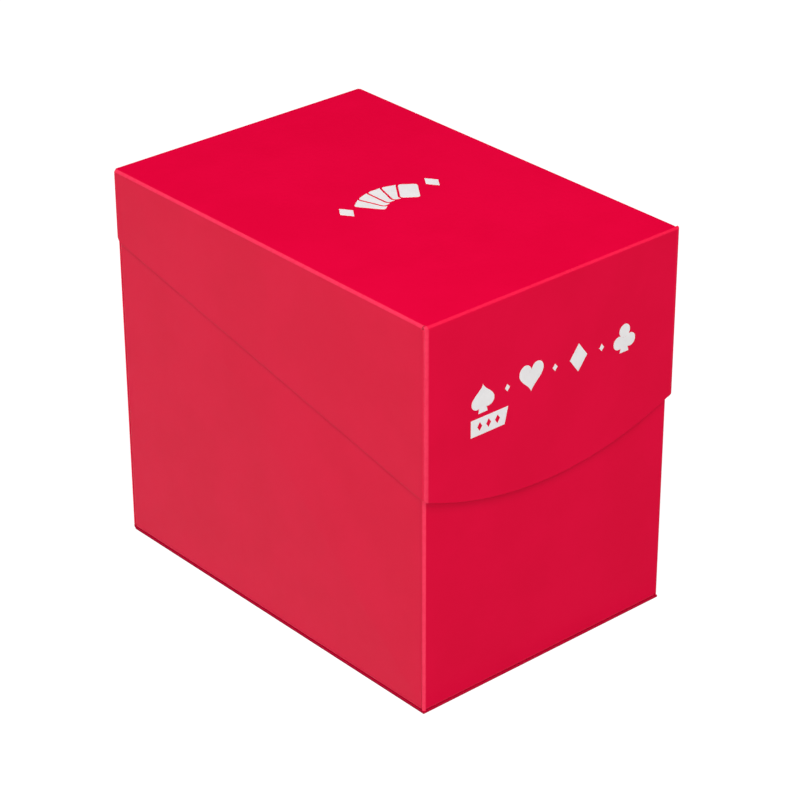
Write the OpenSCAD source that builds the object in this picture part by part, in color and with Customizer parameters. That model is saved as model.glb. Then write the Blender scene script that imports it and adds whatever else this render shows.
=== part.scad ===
// Folded card deck box: a creased plastic blank for the back, the bottom and the flip lid, a second one
// for the front and the sides, the glue layers between them, a loose card divider, and the printed marks.
// Millimetres. X runs across the box, -Y is the front, +Z is up.
// The origin is the middle of the underside, with the lid shut.

/* [Box] */
// Width of the case across its side panels
case_w = 75.2; // [71:0.1:100]
// Depth of the case from its front panel to its rear glue tabs
case_d = 109.1; // [70:0.1:150]
// Height of the shut box
box_h = 98.2; // [96:0.1:120]

/* [Sheet] */
// Thickness of the sheet
sheet_t = 0.5; // [0.4:0.05:0.8]
// Inner radius of the folds
fold_in_r = 0.3; // [0.1:0.05:0.4]
// Thickness of the glue between a tab and its panel
glue_t = 0.05; // [0.03:0.01:0.1]
// Width of the case's glue tabs
tab_w = 12; // [8:0.5:16]

/* [Lid] */
// Gap between a side panel and the lid's side flap
side_gap = 0.1; // [0.05:0.05:0.5]
// Gap between the front panel and the lid's corner tabs
front_gap = 0.1; // [0.1:0.05:0.8]
// Gap between the lid's top panel and the rim of the case
rim_gap = 0.5; // [0.3:0.1:2]
// Drop of the front flap at its middle
front_drop = 50.25; // [46:0.25:60]
// Drop of the front flap at its ends
front_end_drop = 42.35; // [40:0.05:44]
// Drop of the side flaps at the front
side_front_drop = 42.4; // [34:0.05:44]
// Drop of the side flaps at the rear
side_rear_drop = 18.6; // [12:0.1:28]
// Radius of the side flaps' rear lower corner
flap_corner_r = 2; // [1:0.5:5]
// Width of the lid's corner tabs
corner_tab_w = 11; // [7:0.5:15]

/* [Thumb notch] */
// Width of the notch in the front panel's rim
notch_w = 36; // [24:1:44]
// Depth of the notch
notch_d = 13; // [8:1:17]

/* [Divider] */
// Width of the divider
divider_w = 69; // [50:0.5:72]
// Height of the divider to its shoulders
divider_h = 89; // [70:0.5:90]
// Height of the divider's finger tab above its shoulders
divider_tab_h = 5; // [2:0.5:6]

/* [Print] */
// Thickness of the print
print_t = 0.03; // [0.02:0.01:0.1]
// Height of the suit symbols
suit_h = 7; // [5:0.25:9]
// Distance between neighbouring suit symbols
suit_pitch = 14.4; // [12:0.1:16]
// Distance from the top of the box to the middle of the suit symbols
suit_drop = 22.4; // [16:0.1:26]

/* [Hidden] */

sheet_red = [0.84, 0.09, 0.24];
tab_red = [0.78, 0.08, 0.22];
print_white = [0.94, 0.92, 0.92];
glue_clear = [0.92, 0.86, 0.80];

// How far a glued layer stands off the layer it is glued to
layer = sheet_t + glue_t;
// Outer radius of the folds
fold_r = fold_in_r + sheet_t;
// Height at which the walls end and turn into the tabs that lie on the bottom panel
wall_z = layer + fold_r;
// Outer faces of the case
side_x = case_w / 2;
depth = case_d + layer + front_gap + sheet_t + layer;
back_y = depth / 2;
tab_back_y = back_y - layer;
front_y = tab_back_y - case_d;
front_root_y = front_y + fold_r;
rim_z = box_h - sheet_t - rim_gap;
// The back panel is cut narrower than the case, so that its edges never stand proud
back_inset = 0.2;
back_x = side_x - back_inset;
// Outer faces of the lid
lid_x = side_x + side_gap + sheet_t;
lid_front_y = -depth / 2;
corner_tab_y = lid_front_y + layer;
// Axis of the living hinge, in the middle of the sheet where the back and the lid meet
hinge_y = back_y - sheet_t / 2;
hinge_z = box_h - sheet_t / 2;
hinge_clear = 0.03;
hinge_run = sheet_t / 2 + hinge_clear;
// The lid's side flaps stop at the axis, short of the back panel's outer face
flap_back_y = hinge_y - hinge_run;
// The lid's corner tabs turn on a tight crease, so that the side flaps stay flat up to the front flap
corner_r = sheet_t + 0.05;
// The front flap's upright cut edges are rolled over, further across the front than along the side
roll_x = 1.2;
roll_y = 0.32;
// Slits that let the folds turn at the corners of the blank
relief = 0.4;
tab_relief = 0.3;
corner_relief = 0.05;
tab_chamfer = 3;
// How far each glue layer stays inside its tab
glue_margin = 1;
// How far a cutting shape reaches past the sheet that it cuts
over = 1;
round_fn = 96;
arc_fn = 360;
arc_steps = 12;
curve_steps = 60;

// Points of an arc, from angle a0 to a1
function arc(cx, cy, r, a0, a1, steps = arc_steps) = [
    for (i = [0:steps])
        let (a = a0 + (a1 - a0) * i / steps)
        [cx + r * cos(a), cy + r * sin(a)]
];

// Plate of sheet between two corners
module plate(x0, x1, y0, y1, z0, z1) {
    translate([x0, y0, z0])
        cube([x1 - x0, y1 - y0, z1 - z0]);
}

// A flat outline made solid along one axis
module along_x(x0, x1) {
    translate([x0, 0, 0])
        rotate([90, 0, 90])
            linear_extrude(x1 - x0)
                children();
}

module along_y(y0, y1) {
    translate([0, y1, 0])
        rotate([90, 0, 0])
            linear_extrude(y1 - y0)
                children();
}

module along_z(z0, z1) {
    translate([0, 0, z0])
        linear_extrude(z1 - z0)
            children();
}

// Section of a fold: a quarter of a ring about (cx, cy), in the quadrant (sx, sy)
module fold(cx, cy, sx, sy, r = fold_r) {
    intersection() {
        translate([cx, cy])
            difference() {
                circle(r = r, $fn = round_fn);
                circle(r = r - sheet_t, $fn = round_fn);
            }
        translate([cx + (sx < 0 ? -case_w : 0), cy + (sy < 0 ? -case_w : 0)])
            square(case_w);
    }
}

// A glue tab: a strip of width w and length from a to b, with its free corners cut off
module tab_outline(a, b, w) {
    polygon([
        [0, a], [w - tab_chamfer, a], [w, a + tab_chamfer],
        [w, b - tab_chamfer], [w - tab_chamfer, b], [0, b]
    ]);
}

// ---- Case ----

// Rim outline of the front panel, with the thumb notch cut into it
module notch_outline() {
    lip = 3;
    r = ((notch_w / 2) * (notch_w / 2) + notch_d * notch_d) / (2 * notch_d);
    cz = rim_z - notch_d + r;
    // The lip arcs touch the rim and the notch's own arc
    lip_x = sqrt((r + lip) * (r + lip) - (rim_z - lip - cz) * (rim_z - lip - cz));
    meet = atan2(rim_z - lip - cz, lip_x);
    polygon(concat(
        [[-lip_x, rim_z + over]],
        arc(-lip_x, rim_z - lip, lip, 90, -meet),
        arc(0, cz, r, 180 - meet, 360 + meet, 4 * arc_steps),
        arc(lip_x, rim_z - lip, lip, 180 + meet, 90),
        [[lip_x, rim_z + over]]
    ));
}

module front_panel() {
    x1 = side_x - fold_r;
    color(sheet_red)
        difference() {
            plate(-x1, x1, front_y, front_y + sheet_t, wall_z, rim_z);
            along_y(front_y - over, front_y + sheet_t + over)
                notch_outline();
        }
}

module back_panel() {
    color(sheet_red)
        plate(-back_x, back_x, back_y - sheet_t, back_y, fold_r, hinge_z - hinge_run);
}

// Left side panel with the vertical fold that joins it to the front panel. The fold reaches down past
// the walls, between the lower tabs, to close the corner of the case
module left_side_panel() {
    color(sheet_red) {
        plate(-side_x, -side_x + sheet_t, front_root_y, tab_back_y - fold_r, wall_z, rim_z);
        along_z(layer, rim_z)
            fold(-side_x + fold_r, front_root_y, -1, -1);
    }
}

module right_side_panel() {
    mirror([1, 0, 0])
        left_side_panel();
}

// Bottom panel with the fold that joins it to the back panel; its other three edges are cut
module bottom_panel() {
    color(sheet_red) {
        plate(-side_x, side_x, front_y, back_y - fold_r, 0, sheet_t);
        along_x(-back_x, back_x)
            fold(back_y - fold_r, fold_r, 1, -1);
    }
}

// Tab that turns from the side panel's rear edge and is glued inside the back panel
module left_back_tab() {
    root_x = -side_x + fold_r;
    color(tab_red) {
        along_z(wall_z, rim_z)
            fold(root_x, tab_back_y - fold_r, -1, 1);
        along_y(tab_back_y - sheet_t, tab_back_y)
            translate([root_x, 0])
                tab_outline(wall_z, rim_z, tab_w);
    }
}

module right_back_tab() {
    mirror([1, 0, 0])
        left_back_tab();
}

// Tab that turns from the front panel's lower edge and is glued on top of the bottom panel
module front_bottom_tab() {
    x1 = side_x - fold_r - tab_relief;
    tip_x = x1 - tab_w;
    tip_y = front_root_y + tab_w;
    color(tab_red) {
        along_x(-x1, x1)
            fold(front_root_y, wall_z, -1, -1);
        along_z(layer, layer + sheet_t)
            polygon([[-x1, front_root_y], [x1, front_root_y], [tip_x, tip_y], [-tip_x, tip_y]]);
    }
}

// The same for the side panel's lower edge, mitred to leave room for the front panel's tab
module left_bottom_tab() {
    y0 = front_root_y + tab_relief;
    y1 = tab_back_y - fold_r - tab_relief;
    color(tab_red)
        translate([-side_x + fold_r, 0]) {
            along_y(y0, y1)
                fold(0, wall_z, -1, -1);
            along_z(layer, layer + sheet_t)
                polygon([
                    [0, y0], [tab_w, y0 + tab_w],
                    [tab_w, y1 - tab_chamfer], [tab_w - tab_chamfer, y1], [0, y1]
                ]);
        }
}

module right_bottom_tab() {
    mirror([1, 0, 0])
        left_bottom_tab();
}

// Glue between each pair of rear tabs and the back panel
module back_glue() {
    color(glue_clear)
        for (side = [0, 1])
            mirror([side, 0, 0])
                plate(-back_x + glue_margin, -side_x + fold_r + tab_w - glue_margin,
                    tab_back_y, tab_back_y + glue_t,
                    wall_z + tab_chamfer, rim_z - tab_chamfer);
}

// Glue between the lower tabs and the bottom panel
module bottom_glue() {
    tip_x = side_x - fold_r - tab_w;
    tip_y = front_root_y + tab_w;
    color(glue_clear) {
        plate(-tip_x + glue_margin, tip_x - glue_margin,
            front_root_y + glue_margin, tip_y - glue_margin, sheet_t, layer);
        for (side = [0, 1])
            mirror([side, 0, 0])
                plate(-back_x + glue_margin, -tip_x - glue_margin,
                    tip_y + glue_margin, tab_back_y - 2 * tab_chamfer, sheet_t, layer);
    }
}

// ---- Lid ----

// The crease that the lid turns on, as a bead on the hinge axis
module lid_hinge_crease() {
    color(sheet_red)
        translate([-back_x, hinge_y, hinge_z])
            rotate([0, 90, 0])
                cylinder(h = 2 * back_x, d = sheet_t, $fn = round_fn);
}

module lid_top_panel() {
    x1 = lid_x - fold_r;
    color(sheet_red)
        plate(-x1, x1, lid_front_y + fold_r, flap_back_y, box_h - sheet_t, box_h);
}

// Plan of the front flap, with its two outer corners rolled over
module rolled_plan() {
    turn = [for (i = [0:arc_steps]) 90 * i / arc_steps];
    polygon(concat(
        [[-lid_x, lid_front_y + fold_r]],
        [for (a = turn) [-lid_x + roll_x * (1 - cos(a)), lid_front_y + roll_y * (1 - sin(a))]],
        [for (a = turn) [lid_x - roll_x * (1 - sin(a)), lid_front_y + roll_y * (1 - cos(a))]],
        [[lid_x, lid_front_y + fold_r]]
    ));
}

// Front flap, whose lower edge is one shallow arc, with its fold to the top panel
module lid_front_flap() {
    bow = front_drop - front_end_drop;
    arc_r = (lid_x * lid_x + bow * bow) / (2 * bow);
    low_z = box_h - front_drop;
    color(sheet_red)
        intersection() {
            union() {
                along_x(-lid_x, lid_x)
                    fold(lid_front_y + fold_r, box_h - fold_r, -1, 1);
                along_y(lid_front_y, lid_front_y + sheet_t)
                    intersection() {
                        translate([-lid_x, low_z - over])
                            square([2 * lid_x, front_drop + over - fold_r]);
                        translate([0, low_z + arc_r])
                            circle(r = arc_r, $fn = arc_fn);
                    }
            }
            along_z(low_z - over, box_h + over)
                rolled_plan();
        }
}

// Side flap with a slanted lower edge, and its fold to the top panel
module lid_left_flap() {
    top = box_h - fold_r;
    y0 = corner_tab_y + corner_r;
    low_z = box_h - side_front_drop;
    rear_z = box_h - side_rear_drop;
    slant = atan2(rear_z - low_z, flap_back_y - y0);
    // Centre of the rear corner's arc, which touches the slant and the rear edge
    corner_z = rear_z + flap_corner_r * (1 - sin(slant)) / cos(slant);
    color(sheet_red) {
        along_y(lid_front_y + fold_r + relief, flap_back_y)
            fold(-lid_x + fold_r, top, -1, 1);
        along_x(-lid_x, -lid_x + sheet_t)
            polygon(concat(
                [[y0, top], [y0, low_z]],
                arc(flap_back_y - flap_corner_r, corner_z, flap_corner_r, slant - 90, 0),
                [[flap_back_y, top]]
            ));
    }
}

module lid_right_flap() {
    mirror([1, 0, 0])
        lid_left_flap();
}

// Tab that turns from the side flap's front edge and is glued behind the front flap
module lid_left_corner_tab() {
    root_x = -lid_x + corner_r;
    z0 = box_h - side_front_drop;
    z1 = box_h - fold_r - corner_relief;
    color(tab_red) {
        along_z(z0, z1)
            fold(root_x, corner_tab_y + corner_r, -1, -1, corner_r);
        along_y(corner_tab_y, corner_tab_y + sheet_t)
            translate([root_x, 0])
                tab_outline(z0, z1, corner_tab_w);
    }
}

module lid_right_corner_tab() {
    mirror([1, 0, 0])
        lid_left_corner_tab();
}

// Glue between the corner tabs and the front flap
module lid_corner_glue() {
    color(glue_clear)
        for (side = [0, 1])
            mirror([side, 0, 0])
                plate(-lid_x + corner_r + glue_margin, -lid_x + corner_r + corner_tab_w - glue_margin,
                    corner_tab_y - glue_t, corner_tab_y,
                    box_h - side_front_drop + tab_chamfer + glue_margin,
                    box_h - fold_r - tab_chamfer - glue_margin);
}

// ---- Divider ----

// Loose divider that stands at the rear of the case, with a finger tab on its top edge
module card_divider() {
    corner = 3.5;
    tab_half = 15;
    lift = 0.1;
    rear_gap = 0.35;
    half = divider_w / 2;
    z0 = layer + sheet_t + lift;
    shoulder = z0 + divider_h;
    y1 = tab_back_y - sheet_t - rear_gap;
    color(tab_red)
        along_y(y1 - sheet_t, y1)
            polygon(concat(
                arc(-half + corner, z0 + corner, corner, 180, 270),
                arc(half - corner, z0 + corner, corner, 270, 360),
                arc(half - corner, shoulder - corner, corner, 0, 90),
                arc(tab_half, shoulder + divider_tab_h - corner, corner, 0, 90),
                arc(-tab_half, shoulder + divider_tab_h - corner, corner, 90, 180),
                arc(-half + corner, shoulder - corner, corner, 90, 180)
            ));
}

// ---- Print ----

// Outlines of the symbols, each about one unit high, centred on the origin

function heart_points() = [
    for (i = [0:curve_steps - 1])
        let (a = 360 * i / curve_steps)
        [
            pow(sin(a), 3) * 0.52,
            (13 * cos(a) - 5 * cos(2 * a) - 2 * cos(3 * a) - cos(4 * a)) / 29 + 0.09
        ]
];

module stem() {
    polygon([[-0.2, -0.5], [0.2, -0.5], [0.04, 0.05], [-0.04, 0.05]]);
}

module heart() {
    polygon(heart_points());
}

module spade() {
    polygon([for (p = heart_points()) [p[0] * 0.92, 0.08 - p[1] * 0.84]]);
    stem();
}

module club() {
    leaf_r = 0.235;
    for (place = [[0, 0.265], [-0.25, -0.12], [0.25, -0.12]])
        translate(place)
            circle(r = leaf_r, $fn = curve_steps);
    polygon([[-0.12, -0.12], [0.12, -0.12], [0, 0.14]]);
    stem();
}

module diamond(w = 0.76, h = 1) {
    polygon([[-w / 2, 0], [0, -h / 2], [w / 2, 0], [0, h / 2]]);
}

// Playing card with rounded corners, its middle at distance reach from the fan's pivot
module fan_card(angle, reach, w, h, r) {
    rotate(-angle)
        translate([0, reach])
            polygon(concat(
                arc(w / 2 - r, h / 2 - r, r, 0, 90),
                arc(-w / 2 + r, h / 2 - r, r, 90, 180),
                arc(-w / 2 + r, -h / 2 + r, r, 180, 270),
                arc(w / 2 - r, -h / 2 + r, r, 270, 360)
            ));
}

// Fan of cards between two diamonds, on the top of the lid
module top_fan_print() {
    card = [4.6, 7.4];
    corner = 0.8;
    seam = 0.55;
    reach = 9.6;
    pivot_y = -8;
    angles = [-36, -18, 0, 18, 36];
    side_mark = [3.8, 5.4];
    side_mark_x = 13;
    color(print_white)
        along_z(box_h, box_h + print_t) {
            translate([0, pivot_y])
                for (i = [0:len(angles) - 1])
                    difference() {
                        fan_card(angles[i], reach, card[0], card[1], corner);
                        if (i < len(angles) - 1)
                            fan_card(angles[i + 1], reach, card[0] + 2 * seam, card[1] + 2 * seam,
                                corner + seam);
                    }
            for (side = [-1, 1])
                translate([side * side_mark_x, 0])
                    diamond(side_mark[0], side_mark[1]);
        }
}

// The four suits in a row on the front flap, with small diamonds between them
module front_suit_print() {
    row_z = box_h - suit_drop;
    between = [1.5, 1.8];
    color(print_white)
        along_y(lid_front_y - print_t, lid_front_y) {
            for (i = [0:3])
                translate([(i - 1.5) * suit_pitch, row_z])
                    scale(suit_h)
                        if (i == 0) spade();
                        else if (i == 1) heart();
                        else if (i == 2) diamond();
                        else club();
            for (i = [-1:1])
                translate([i * suit_pitch, row_z])
                    diamond(between[0], between[1]);
        }
}

// Slanted label below the first suit, with three diamonds left open in it
module front_tag_print() {
    tag = [11, 4.2];
    slant = 1;
    below = 1.1;
    open = [1.5, 2.2];
    left_x = -1.5 * suit_pitch - suit_h / 2;
    top_z = box_h - suit_drop - suit_h / 2 - below;
    color(print_white)
        along_y(lid_front_y - print_t, lid_front_y)
            translate([left_x, top_z - tag[1]])
                difference() {
                    polygon([[0, 0], [tag[0] - slant, 0], [tag[0], tag[1]], [0, tag[1]]]);
                    for (i = [1:3])
                        translate([i * (tag[0] - slant / 2) / 4, tag[1] / 2])
                            diamond(open[0], open[1]);
                }
}

front_panel();
back_panel();
left_side_panel();
right_side_panel();
bottom_panel();
left_back_tab();
right_back_tab();
front_bottom_tab();
left_bottom_tab();
right_bottom_tab();
back_glue();
bottom_glue();
lid_hinge_crease();
lid_top_panel();
lid_front_flap();
lid_left_flap();
lid_right_flap();
lid_left_corner_tab();
lid_right_corner_tab();
lid_corner_glue();
top_fan_print();
front_suit_print();
front_tag_print();
card_divider();
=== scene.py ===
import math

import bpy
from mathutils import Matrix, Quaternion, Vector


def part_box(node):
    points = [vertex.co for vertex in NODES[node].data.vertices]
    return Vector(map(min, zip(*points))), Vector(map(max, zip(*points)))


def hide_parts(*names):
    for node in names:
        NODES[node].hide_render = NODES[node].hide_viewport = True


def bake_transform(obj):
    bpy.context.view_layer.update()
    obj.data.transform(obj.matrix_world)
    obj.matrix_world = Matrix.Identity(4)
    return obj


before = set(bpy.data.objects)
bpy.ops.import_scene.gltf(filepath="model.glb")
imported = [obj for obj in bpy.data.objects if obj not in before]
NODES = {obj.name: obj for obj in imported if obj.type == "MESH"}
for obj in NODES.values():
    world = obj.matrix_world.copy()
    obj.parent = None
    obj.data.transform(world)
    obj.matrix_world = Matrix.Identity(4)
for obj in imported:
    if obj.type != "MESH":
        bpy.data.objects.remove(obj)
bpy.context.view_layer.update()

# Looks of a folded card deck box: matt red polypropylene sheet with creases paled partly by stress and
# partly as painted highlight, cut edges painted lighter as painted highlight, painted shade on the lid
# flaps' edges and the bottom panel's edges, the bending strip of the living hinge, white ink marks and
# clear glue. Metres, in the frame of the CAD.

MM = 0.001
X, Y, Z = range(3)

# ---- Measures, read from the frame ----

TOP_LOW, TOP_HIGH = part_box("lid_top_panel")
BACK_LOW, BACK_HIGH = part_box("back_panel")
FRONT_LOW, FRONT_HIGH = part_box("front_panel")
SIDE_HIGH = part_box("right_side_panel")[1]
FLAP_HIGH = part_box("lid_front_flap")[1]
SHEET_T = TOP_HIGH.z - TOP_LOW.z
# The back panel starts where the bottom's fold ends, so its lower edge is one outer fold radius up
FOLD_R = BACK_LOW.z
# The walls end that far above the tabs that lie on the bottom panel
WALL_Z = FRONT_LOW.z

# ---- Edges, with their painted highlight and shade ----

EDGE_ROUND = 0.16 * MM
# The bottom panel's edge is kept crisp, and the side flaps' edges are softer
CRISP = 1 / 3
SOFT = 1.5
# The front flap's upright edges are rolled over, and whitened as painted highlight with some
# stress-whitening: where the whitening starts, short of the edge, the run over which it grows, and how
# far inside it the rounding of the lower edge stops
ROLL_WIDTH = 1.08 * MM
ROLL_FADE = 0.5 * MM
ROLL_CLEAR = 0.3 * MM
# The right one gets only this share of the painted highlight, and stays redder
RIGHT_ROLL_HIGHLIGHT = 0.2
# Width of the ledge at the foot of the walls that gets painted shade, and how much painted shade it and
# the front edge get
LEDGE = 1.2 * MM
LEDGE_SHADE = 0.75
FRONT_SHADE = 0.78
# The bottom tabs' folds are whitened in full at a slighter rounding than the others, which paints a
# highlight line where they start to turn down
TAB_ONSET = 0.012
# Stretch with no fold on either side of it, and a reach past every node
NO_FOLD = (-1.0, 1.0)
EVERYWHERE = 1.0
WELD_REACH = 0.0005 * MM
SEAM_REACH = 0.004 * MM
SHARP_FROM = math.radians(32)

# ---- Colours, linear ----

SHEET_RED = (0.830, 0.0006, 0.0460)
DEEP_RED = (0.800, 0.0004, 0.0420)
# Creases, paled partly by stress-whitening and partly as painted highlight on their rounding
STRESS_AND_HIGHLIGHT_RED = (0.960, 0.0400, 0.1050)
# Cut edges, painted lighter as painted highlight
CUT_EDGE_HIGHLIGHT_RED = (0.960, 0.0340, 0.1000)
# The lid flaps' cut edges, painted dark as painted shade along their lower edges
FLAP_EDGE_SHADE_RED = (0.480, 0.0180, 0.0450)
# Painted shade of the floor contact, on the bottom panel's edges and the ledge at the foot of the walls
CONTACT_SHADE_RED = (0.400, 0.0045, 0.0330)
INK_WHITE = (0.950, 0.930, 0.930)
INK_SHADE = (0.900, 0.860, 0.865)
GLUE_CLEAR = (0.780, 0.560, 0.480)

# ---- Gloss ----

SHEET_IOR = 1.49
SHEET_SPECULAR = 0.05
# Lowest and highest roughness of the sheet, and how much glossier its cut edges and creases are
SHEET_ROUGH = (0.43, 0.50)
EDGE_GLOSS = 0.13
INK_IOR = 1.5
INK_ROUGH = (0.30, 0.38)
GLUE_IOR = 1.48
GLUE_ROUGH = (0.12, 0.24)


# ---- Node tools; noise scales are in cycles to the metre ----

class Tree:
    """A material's node tree, with short calls to add and join nodes."""

    def __init__(self, name):
        self.material = bpy.data.materials.new(name)
        self.material.use_nodes = True
        self.nodes = self.material.node_tree.nodes
        self.links = self.material.node_tree.links
        self.nodes.clear()

    def add(self, kind, **inputs):
        """A node of that kind. A key is one of its settings, or the name or number of an input."""
        node = self.nodes.new("ShaderNode" + kind)
        sockets = {}
        for key, value in inputs.items():
            if hasattr(node, key) and key not in ("inputs", "outputs"):
                setattr(node, key, value)
            else:
                sockets[key] = value
        for key, value in sockets.items():
            at = int(key[1:]) if key[0] == "i" and key[1:].isdigit() else key.replace("_", " ")
            self.give(node.inputs[at], value)
        return node

    def give(self, socket, value):
        if isinstance(value, bpy.types.NodeSocket):
            self.links.new(value, socket)
        elif isinstance(value, tuple) and len(value) == 3 and socket.type == "RGBA":
            socket.default_value = (*value, 1)
        else:
            socket.default_value = value

    def math(self, operation, a, b=0.0):
        return self.add("Math", operation=operation, i0=a, i1=b).outputs[0]

    def ramp(self, value, low, high, to_low=0.0, to_high=1.0):
        node = self.add("MapRange", interpolation_type="SMOOTHSTEP")
        self.give(node.inputs["Value"], value)
        self.give(node.inputs["From Min"], low)
        self.give(node.inputs["From Max"], high)
        self.give(node.inputs["To Min"], to_low)
        self.give(node.inputs["To Max"], to_high)
        return node.outputs[0]

    def noise(self, where, scale, detail=2.0, roughness=0.5):
        node = self.add("TexNoise")
        self.give(node.inputs["Vector"], where)
        self.give(node.inputs["Scale"], scale)
        self.give(node.inputs["Detail"], detail)
        self.give(node.inputs["Roughness"], roughness)
        return node.outputs[0]

    def blend(self, share, a, b):
        node = self.add("Mix", data_type="RGBA")
        self.give(node.inputs[0], share)
        self.give(node.inputs[6], a)
        self.give(node.inputs[7], b)
        return node.outputs[2]

    def bump(self, height, strength, depth, under=None):
        node = self.add("Bump")
        self.give(node.inputs["Height"], height)
        self.give(node.inputs["Strength"], strength)
        self.give(node.inputs["Distance"], depth)
        if under is not None:
            self.give(node.inputs["Normal"], under)
        return node.outputs[0]

    def finish(self, colour, roughness, normal, **constants):
        """The material, with its surface made of those outputs and constants."""
        shader = self.add("BsdfPrincipled")
        self.give(shader.inputs["Base Color"], colour)
        self.give(shader.inputs["Roughness"], roughness)
        self.give(shader.inputs["Normal"], normal)
        for key, value in constants.items():
            self.give(shader.inputs[key.replace("_", " ")], value)
        out = self.add("OutputMaterial")
        self.links.new(shader.outputs[0], out.inputs[0])
        return self.material


# ---- Polypropylene sheet ----

def sheet_masks(tree, plate, run, flat, rolled=None, paled=1.0, onset=0.06, edge=(0.55, 0.85)):
    """How much a point lies on a cut edge, and how much it is whitened by the rounding of a fold: partly
    stress-whitening, partly painted highlight on the rounding. Paled is how much of the whitening the
    folds get, and onset the rounding at which they have it in full. Edge is the turn away from the flat
    at which a cut edge starts and at which it is reached.
    Rolled is the distance from the middle plane from which the two upright edges are whitened, as
    painted highlight with some stress-whitening."""
    where = tree.add("TexCoord")
    normal = tree.add("SeparateXYZ", Vector=where.outputs["Normal"])
    place = tree.add("SeparateXYZ", Vector=where.outputs["Object"])
    facing = [tree.math("ABSOLUTE", normal.outputs[axis]) for axis in range(3)]
    cut = tree.math("SUBTRACT", 1.0, facing[plate])
    turned = 0.0
    if run is not None:
        across = 3 - plate - run
        past_low = tree.math("LESS_THAN", place.outputs[across], flat[0])
        past_high = tree.math("GREATER_THAN", place.outputs[across], flat[1])
        in_fold = tree.math("MAXIMUM", past_low, past_high)
        flat_cut = tree.math("MULTIPLY", cut, tree.math("SUBTRACT", 1.0, in_fold))
        fold_cut = tree.math("MULTIPLY", in_fold, facing[run])
        cut = tree.math("ADD", flat_cut, fold_cut)
        turned = tree.math("MULTIPLY", in_fold, paled)
    largest = tree.math("MAXIMUM", facing[X], tree.math("MAXIMUM", facing[Y], facing[Z]))
    rounding = tree.ramp(tree.math("SUBTRACT", 1.0, largest), 0.0, onset)
    whitened = tree.math("MULTIPLY", rounding, turned)
    cut = tree.ramp(cut, *edge)
    if rolled is not None:
        # Painted highlight, with some stress-whitening, on the rolled upright edges, less on the right
        # one
        roll = tree.ramp(tree.math("ABSOLUTE", place.outputs[X]), rolled, rolled + ROLL_FADE)
        roll = tree.math("MULTIPLY", roll, tree.ramp(place.outputs[X], -MM, MM, 1.0, RIGHT_ROLL_HIGHLIGHT))
        whitened = tree.math("MAXIMUM", whitened, roll)
        cut = tree.math("MULTIPLY", cut, tree.math("SUBTRACT", 1.0, roll))
    return cut, whitened


def sheet_finish(tree, cut, crease, cut_red=CUT_EDGE_HIGHLIGHT_RED):
    """Matt sheet: a fine sand grain, faint mottling, creases paled partly by stress and partly as
    painted highlight, and glossier cut edges painted in their own colour: lighter as painted highlight,
    or darker as painted shade.
    """
    where = tree.add("TexCoord").outputs["Object"]
    mottle = tree.noise(where, 55.0, 3.0)
    speck = tree.noise(where, 2600.0, 2.0)
    grain = tree.noise(where, 7500.0, 2.0, 0.6)
    crease_patches = tree.noise(where, 900.0, 3.0, 0.65)
    body = tree.blend(tree.ramp(mottle, 0.35, 0.65), DEEP_RED, SHEET_RED)
    body = tree.blend(tree.ramp(speck, 0.30, 0.70, 0.0, 0.25), body, SHEET_RED)
    # The creases' paling, partly painted highlight, broken up into patches
    paling_and_highlight = tree.math("MULTIPLY", crease, tree.ramp(crease_patches, 0.25, 0.60, 0.72, 1.0))
    colour = tree.blend(paling_and_highlight, body, STRESS_AND_HIGHLIGHT_RED)
    # Cut edges take the colour given: painted highlight by default, painted shade on the lid flaps and
    # the bottom panel
    colour = tree.blend(tree.math("MULTIPLY", cut, 0.85), colour, cut_red)
    edges = tree.math("MAXIMUM", cut, crease)
    matt = tree.ramp(tree.noise(where, 320.0, 4.0, 0.6), 0.3, 0.7, *SHEET_ROUGH)
    roughness = tree.math("SUBTRACT", matt, tree.math("MULTIPLY", edges, EDGE_GLOSS))
    normal = tree.bump(grain, 0.35, 0.006 * MM)
    normal = tree.bump(mottle, 0.20, 0.030 * MM, normal)
    return tree.finish(colour, roughness, normal, IOR=SHEET_IOR, Specular_IOR_Level=SHEET_SPECULAR)


def sheet_material(node, plate, run=None, flat=NO_FOLD, cut_red=CUT_EDGE_HIGHLIGHT_RED, **folds):
    """Sheet whose flat faces look along the axis plate, and whose folds run along the axis run and
    lie outside the stretch flat of the third axis."""
    tree = Tree("sheet_" + node)
    cut, crease = sheet_masks(tree, plate, run, flat, **folds)
    return sheet_finish(tree, cut, crease, cut_red)


def bottom_material():
    """The bottom panel's sheet, with painted shade where it meets the floor: on the cut edges that it
    stands on, least at the front, and a little on the ledge above them."""
    tree = Tree("sheet_bottom_panel")
    cut, crease = sheet_masks(tree, Z, X, (NO_FOLD[0], BACK_HIGH.y - FOLD_R))
    place = tree.add("SeparateXYZ", Vector=tree.add("TexCoord").outputs["Object"])
    from_middle = tree.math("ABSOLUTE", place.outputs[X])
    share = tree.ramp(place.outputs[Y], FRONT_LOW.y, FRONT_LOW.y + SHEET_T, FRONT_SHADE, 1.0)
    beside = tree.ramp(from_middle, SIDE_HIGH.x - LEDGE, SIDE_HIGH.x, 0.0, LEDGE_SHADE)
    ahead = tree.ramp(place.outputs[Y], FRONT_LOW.y + LEDGE, FRONT_LOW.y, 0.0, LEDGE_SHADE)
    ledge = tree.math("MAXIMUM", beside, ahead)
    painted_shade = tree.math("MAXIMUM", tree.math("MULTIPLY", cut, share), ledge)
    return sheet_finish(tree, painted_shade, crease, CONTACT_SHADE_RED)


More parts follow.
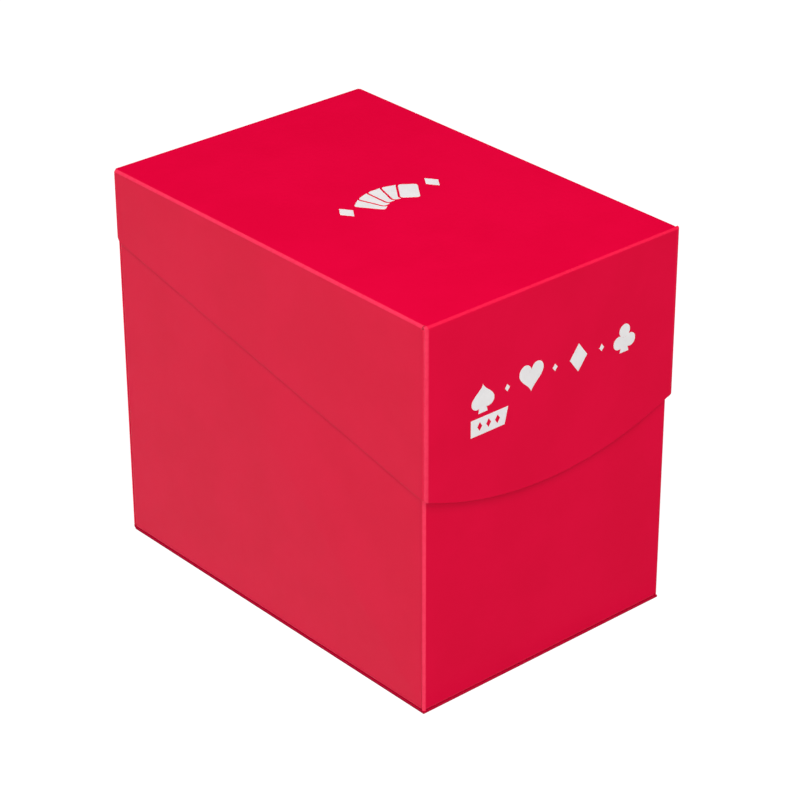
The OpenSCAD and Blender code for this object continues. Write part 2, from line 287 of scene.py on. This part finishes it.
def hinge_material():
    """The same sheet on the bending strip, whose mesh says how stressed each point is; that pales it in
    the creases' colour, which is partly painted highlight. Its cut ends aren't marked, so they have the
    sheet's own colour."""
    tree = Tree("sheet_hinge")
    stress = tree.add("Attribute", attribute_name="stress").outputs["Fac"]
    return sheet_finish(tree, 0.0, stress)


# ---- Ink and glue ----

def ink_material():
    """Screen-printed white ink: satin, a little uneven, with fine pinholes that show some red."""
    tree = Tree("white_ink")
    where = tree.add("TexCoord").outputs["Object"]
    cover = tree.ramp(tree.noise(where, 1400.0, 3.0, 0.6), 0.28, 0.48)
    cloud = tree.ramp(tree.noise(where, 260.0, 2.0), 0.35, 0.65)
    pinhole = tree.ramp(tree.noise(where, 5200.0, 2.0), 0.20, 0.27)
    white = tree.blend(cloud, INK_SHADE, INK_WHITE)
    white = tree.blend(tree.math("MULTIPLY", cover, 0.6), white, INK_WHITE)
    colour = tree.blend(tree.ramp(pinhole, 0.0, 1.0, 0.82, 1.0), SHEET_RED, white)
    roughness = tree.ramp(cloud, 0.0, 1.0, *INK_ROUGH)
    normal = tree.bump(tree.noise(where, 3200.0, 3.0), 0.30, 0.008 * MM)
    return tree.finish(colour, roughness, normal, IOR=INK_IOR)


def glue_material():
    """Clear set adhesive over red sheet: amber-pink, glossy, with soft ripples."""
    tree = Tree("set_glue")
    where = tree.add("TexCoord").outputs["Object"]
    ripple = tree.noise(where, 420.0, 3.0)
    colour = tree.blend(tree.ramp(ripple, 0.3, 0.7), GLUE_CLEAR, STRESS_AND_HIGHLIGHT_RED)
    roughness = tree.ramp(tree.noise(where, 900.0, 2.0), 0.3, 0.7, *GLUE_ROUGH)
    normal = tree.bump(ripple, 0.5, 0.02 * MM)
    return tree.finish(colour, roughness, normal, IOR=GLUE_IOR)


# ---- Cut edges ----

def edge_marker(name, seams, reach):
    """Geometry nodes that give each sharp edge of a sheet a bevel weight, except where the sheet
    goes on in the next node, and except further than reach from the middle plane. A seam is (axis,
    distance from the middle plane)."""
    tree = bpy.data.node_groups.new(name, "GeometryNodeTree")
    tree.interface.new_socket("Geometry", in_out="INPUT", socket_type="NodeSocketGeometry")
    tree.interface.new_socket("Geometry", in_out="OUTPUT", socket_type="NodeSocketGeometry")

    def add(kind, **settings):
        node = tree.nodes.new(kind)
        for key, value in settings.items():
            setattr(node, key, value)
        return node

    def size(value):
        node = add("ShaderNodeMath", operation="ABSOLUTE")
        tree.links.new(value, node.inputs[0])
        return node.outputs[0]

    def compare(value, operation, limit):
        node = add("FunctionNodeCompare", data_type="FLOAT", operation=operation)
        tree.links.new(value, node.inputs[0])
        node.inputs[1].default_value = limit
        return node.outputs[0]

    def both(a, b):
        node = add("FunctionNodeBooleanMath", operation="AND")
        tree.links.new(a, node.inputs[0])
        tree.links.new(b, node.inputs[1])
        return node.outputs[0]

    angle = add("GeometryNodeInputMeshEdgeAngle").outputs["Unsigned Angle"]
    sharp = compare(angle, "GREATER_THAN", SHARP_FROM)
    place = add("ShaderNodeSeparateXYZ")
    tree.links.new(add("GeometryNodeInputPosition").outputs[0], place.inputs[0])
    away = [size(place.outputs[axis]) for axis in (X, Y, Z)]
    bevelled = both(sharp, compare(away[X], "LESS_THAN", reach))
    for axis, at in seams:
        off = add("ShaderNodeMath", operation="SUBTRACT")
        tree.links.new(away[axis], off.inputs[0])
        off.inputs[1].default_value = abs(at)
        bevelled = both(bevelled, compare(size(off.outputs[0]), "GREATER_THAN", SEAM_REACH))

    smooth = add("GeometryNodeSetShadeSmooth")
    drop = add("GeometryNodeRemoveAttribute")
    drop.inputs["Name"].default_value = "custom_normal"
    mark_sharp = add("GeometryNodeStoreNamedAttribute", data_type="BOOLEAN", domain="EDGE")
    mark_sharp.inputs["Name"].default_value = "sharp_edge"
    mark_bevel = add("GeometryNodeStoreNamedAttribute", data_type="FLOAT", domain="EDGE")
    mark_bevel.inputs["Name"].default_value = "bevel_weight_edge"
    tree.links.new(sharp, mark_sharp.inputs["Value"])
    tree.links.new(bevelled, mark_bevel.inputs["Value"])
    chain = [add("NodeGroupInput"), drop, smooth, mark_sharp, mark_bevel, add("NodeGroupOutput")]
    for a, b in zip(chain, chain[1:]):
        tree.links.new(a.outputs[0], b.inputs[0])
    return tree


def round_cut_edges(obj, seams, width=EDGE_ROUND, reach=EVERYWHERE):
    """Rounds the edges that a die would cut, on the welded mesh, and leaves the seams tight. The
    width isn't clamped, because the short edges of the folds' ends would clamp it everywhere."""
    weld = obj.modifiers.new("weld", "WELD")
    weld.merge_threshold = WELD_REACH
    plain = obj.modifiers.new("plain", "DECIMATE")
    plain.decimate_type = "DISSOLVE"
    plain.angle_limit = math.radians(0.6)
    marks = obj.modifiers.new("marks", "NODES")
    marks.node_group = edge_marker("marks_" + obj.name, seams, reach)
    bevel = obj.modifiers.new("bevel", "BEVEL")
    bevel.limit_method = "WEIGHT"
    bevel.width = width
    bevel.segments = 3
    bevel.use_clamp_overlap = False
    bevel.harden_normals = True
    bevel.miter_outer = "MITER_ARC"


# ---- The nodes of the frame ----

def dress(node, material):
    NODES[node].material_slots[0].material = material


def dress_sheet(node, plate, run=None, flat=NO_FOLD, seams=(), width=EDGE_ROUND, reach=EVERYWHERE,
                **looks):
    dress(node, sheet_material(node, plate, run, flat, **looks))
    round_cut_edges(NODES[node], seams, width, reach)


def dress_case():
    seam_x = (X, FRONT_HIGH.x)
    seam_y = (Y, SIDE_HIGH.y)
    seam_z = (Z, WALL_Z)
    fold_z = (Z, FOLD_R)
    fold_y = FRONT_LOW.y + FOLD_R
    between = (-FRONT_HIGH.x, FRONT_HIGH.x)
    dress_sheet("front_panel", Y, seams=[seam_x, seam_z])
    dress_sheet("back_panel", Y, seams=[fold_z, (Z, BACK_HIGH.z)])
    # The bottom panel gets painted shade where it stands on the floor.
    dress("bottom_panel", bottom_material())
    round_cut_edges(NODES["bottom_panel"], [fold_z], EDGE_ROUND * CRISP)
    behind = (fold_y, NO_FOLD[1])
    dress_sheet("front_bottom_tab", Z, X, behind, [seam_z], paled=0.4, onset=TAB_ONSET)
    for side in ("left", "right"):
        dress_sheet(f"{side}_side_panel", X, Z, behind, [seam_x, seam_y, seam_z])
        dress_sheet(f"{side}_back_tab", Y, Z, between, [seam_y])
        dress_sheet(f"{side}_bottom_tab", Z, Y, between, [seam_z], paled=0.5, onset=TAB_ONSET)


def dress_lid():
    seam_x = (X, TOP_HIGH.x)
    seam_front = (Y, TOP_LOW.y)
    below = (NO_FOLD[0], TOP_HIGH.z - FOLD_R)
    between = (-TOP_HIGH.x, TOP_HIGH.x)
    dress_sheet("lid_top_panel", Z, seams=[seam_x, seam_front, (Y, TOP_HIGH.y)])
    rolled = FLAP_HIGH.x - ROLL_WIDTH
    # The front flap's lower edge is painted dark as painted shade, and its rolled upright edges get
    # painted highlight.
    dress_sheet("lid_front_flap", Y, X, below, [seam_front], reach=rolled - ROLL_CLEAR,
                cut_red=FLAP_EDGE_SHADE_RED, paled=0.3, rolled=rolled)
    corner_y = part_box("lid_left_flap")[0].y
    for side in ("left", "right"):
        seams = [seam_x, (Y, corner_y), (Z, below[1])]
        # The side flaps' cut edges and their whole rounding are painted dark, as painted shade along
        # their lower edges.
        dress_sheet(f"lid_{side}_flap", X, Y, below, seams, EDGE_ROUND * SOFT,
                    cut_red=FLAP_EDGE_SHADE_RED, edge=(0.0, 0.3))
        dress_sheet(f"lid_{side}_corner_tab", Y, Z, between, [(Y, corner_y)], paled=0.5)


def dress_rest():
    dress_sheet("card_divider", Y)
    ink = ink_material()
    for node in ("top_fan_print", "front_suit_print", "front_tag_print"):
        dress(node, ink)
    glue = glue_material()
    for node in ("back_glue", "bottom_glue", "lid_corner_glue"):
        dress(node, glue)


# ---- Living hinge ----

QUARTER = math.radians(90)
BEND_STEPS = 18
END_STEPS = 4
GROOVE = 0.12 * MM


def hinge_stations():
    """The strip's sections across the box: the place of each one, and how far the rounding of the
    cut ends draws it in."""
    right = []
    for i in range(END_STEPS + 1):
        a = QUARTER * i / END_STEPS
        right.append((BACK_HIGH.x - EDGE_ROUND * (1 - math.sin(a)), EDGE_ROUND * (1 - math.cos(a))))
    return [(-x, inset) for x, inset in reversed(right)] + right


def hinge_mesh(centre, outer, inner):
    """A quarter ring of sheet, thinner at its middle and rounded at its two cut ends. Gives the mesh,
    and how much of the lid's turn each of its points makes."""
    stations = hinge_stations()
    points, stress, share = [], [], []
    for x, inset in stations:
        for outside in (True, False):
            for i in range(BEND_STEPS + 1):
                t = i / BEND_STEPS
                pinch = math.sin(math.pi * t) ** 2
                reach = outer - inset if outside else inner + GROOVE * pinch + inset
                a = QUARTER * t
                points.append((x, centre.y + reach * math.cos(a), centre.z + reach * math.sin(a)))
                stress.append(pinch)
                share.append(t * t * (3 - 2 * t))

    row = BEND_STEPS + 1
    section = 2 * row
    ring = [*range(row), *reversed(range(row, section))]
    faces = []
    for s in range(len(stations) - 1):
        low, high = s * section, (s + 1) * section
        for a, b in zip(ring, ring[1:] + ring[:1]):
            faces.append((low + a, low + b, high + b, high + a))
    for base, winding in ((0, 1), ((len(stations) - 1) * section, -1)):
        for i in range(BEND_STEPS):
            quad = (base + i, base + row + i, base + row + i + 1, base + i + 1)
            faces.append(quad[::winding])

    mesh = bpy.data.meshes.new("hinge_strip")
    mesh.from_pydata(points, [], faces)
    mesh.update()
    mesh.attributes.new("stress", "FLOAT", "POINT").data.foreach_set("value", stress)
    mesh.shade_smooth()
    mesh.set_sharp_from_angle(angle=SHARP_FROM)
    mesh.materials.append(hinge_material())
    return mesh, share


def hinge_strip():
    """The creased strip between the back and the top."""
    centre = Vector((0.0, TOP_HIGH.y, BACK_HIGH.z))
    outer = TOP_HIGH.z - centre.z
    inner = outer - SHEET_T
    mesh, share = hinge_mesh(centre, outer, inner)
    strip = bpy.data.objects.new("hinge_strip", mesh)
    bpy.context.scene.collection.objects.link(strip)
    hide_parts("lid_hinge_crease")
    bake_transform(strip)


# ---- Floor and sky ----

FLOOR_HALF = 4.0
FLOOR_DROP = 0.02 * MM
FLOOR_DIFFUSE = (0.16, 0.158, 0.158)
FLOOR_GLOW = 0.93
SKY_ABOVE = 0.06
SKY_BELOW = 0.50
# Depth below the horizon, as a direction's height, at which the lower strength is reached
SKY_DIP = 0.1


def stage_object(name, data, place):
    obj = bpy.data.objects.new(name, data)
    obj.location = place
    bpy.context.scene.collection.objects.link(obj)
    return obj


def square_mesh(name, half):
    mesh = bpy.data.meshes.new(name)
    corners = [(-half, -half, 0), (half, -half, 0), (half, half, 0), (-half, half, 0)]
    mesh.from_pydata(corners, [], [(0, 1, 2, 3)])
    return mesh


def floor():
    """A pale floor that keeps a faint contact shadow: most of its light is its own. The light that
    it would throw back onto the object comes from the lower half of the sky instead."""
    tree = Tree("pale_floor")
    tree.material.cycles.emission_sampling = "NONE"
    matt = tree.add("BsdfDiffuse", Color=FLOOR_DIFFUSE)
    glow = tree.add("Emission", Strength=FLOOR_GLOW)
    total = tree.add("AddShader", i0=matt.outputs[0], i1=glow.outputs[0])
    tree.add("OutputMaterial", i0=total.outputs[0])
    mesh = square_mesh("floor", FLOOR_HALF)
    mesh.materials.append(tree.material)
    obj = stage_object("floor", mesh, (0, 0, -FLOOR_DROP))
    obj.visible_glossy = False
    obj.visible_diffuse = False


def sky():
    """Even, weak light from above and stronger light from below, none of it seen in gloss."""
    world = bpy.data.worlds.new("studio")
    world.use_nodes = True
    nodes, links = world.node_tree.nodes, world.node_tree.links
    nodes.clear()
    where = nodes.new("ShaderNodeTexCoord")
    split = nodes.new("ShaderNodeSeparateXYZ")
    lower = nodes.new("ShaderNodeMapRange")
    stronger = nodes.new("ShaderNodeMath")
    glow = nodes.new("ShaderNodeBackground")
    out = nodes.new("ShaderNodeOutputWorld")
    lower.inputs["From Min"].default_value = -SKY_DIP
    lower.inputs["From Max"].default_value = 0.0
    lower.inputs["To Min"].default_value = SKY_BELOW
    lower.inputs["To Max"].default_value = 0.0
    stronger.operation = "MAXIMUM"
    stronger.inputs[1].default_value = SKY_ABOVE
    links.new(where.outputs["Generated"], split.inputs[0])
    links.new(split.outputs[Z], lower.inputs["Value"])
    links.new(lower.outputs[0], stronger.inputs[0])
    links.new(stronger.outputs[0], glow.inputs["Strength"])
    links.new(glow.outputs[0], out.inputs[0])
    world.cycles_visibility.glossy = False
    world.cycles.sampling_method = "NONE"
    bpy.context.scene.world = world


# ---- Lamps, in metres and watts ----

BOX_MIDDLE = (0, 0, 0.05)
SHEEN_HEIGHT = 0.2 * MM


def softbox(name, place, size, power, aim=BOX_MIDDLE, diffuse=True, gloss=True):
    data = bpy.data.lights.new(name, "AREA")
    data.shape = "SQUARE"
    data.size = size
    data.energy = power
    obj = stage_object(name, data, place)
    obj.rotation_mode = "QUATERNION"
    obj.rotation_quaternion = (Vector(aim) - Vector(place)).to_track_quat("-Z", "Y")
    obj.visible_camera = False
    obj.visible_diffuse = diffuse
    obj.visible_glossy = gloss


def floor_sheen(name, x, y, size, power):
    """A panel on the floor that shines straight up and only shows in gloss, so that it pales the
    faces beside it as a white table would."""
    softbox(name, (x, y, SHEEN_HEIGHT), size, power, aim=(x, y, 1), diffuse=False)


def lamps():
    softbox("front_high", (0.22, -0.93, 1.63), 0.75, 12.6)
    softbox("left_high", (-0.93, 0.15, 1.7), 0.6, 13.7)
    softbox("left_low", (-1.0, 0.1, 0.3), 0.5, 0.95)
    softbox("fill", (-0.77, -1.18, 0.75), 0.84, 15.2)
    softbox("rear_low", (0.75, 0.65, 0.13), 0.25, 5, gloss=False)
    floor_sheen("left_sheen", -0.688, 0.15, 1.3, 12.2)
    floor_sheen("front_sheen", 0.35, -0.508, 0.9, 0.5)


# ---- Camera ----

AZIMUTH = math.radians(-41.10)
ELEVATION = math.radians(28.26)
ROLL = math.radians(-0.17)
AIM = Vector((-0.77, -4.22, 47.27)) * MM
DISTANCE = 682.0 * MM
LENS = 129.56
SENSOR = 36.0
NEAR = 0.05
FAR = 20.0


def camera():
    """Close three-quarter view from the front left, from above."""
    back = Vector((
        math.sin(AZIMUTH) * math.cos(ELEVATION),
        -math.cos(AZIMUTH) * math.cos(ELEVATION),
        math.sin(ELEVATION),
    ))
    data = bpy.data.cameras.new("camera")
    data.lens = LENS
    data.sensor_width = SENSOR
    data.clip_start = NEAR
    data.clip_end = FAR
    obj = bpy.data.objects.new("camera", data)
    obj.location = AIM + back * DISTANCE
    obj.rotation_mode = "QUATERNION"
    level = (-back).to_track_quat("-Z", "Y")
    obj.rotation_quaternion = level @ Quaternion((0, 0, 1), ROLL)
    bpy.context.scene.collection.objects.link(obj)
    bpy.context.scene.camera = obj


# ---- The whole scene ----

dress_case()
dress_lid()
dress_rest()
hinge_strip()
floor()
sky()
camera()
lamps()
bpy.context.scene.view_settings.view_transform = "Standard"
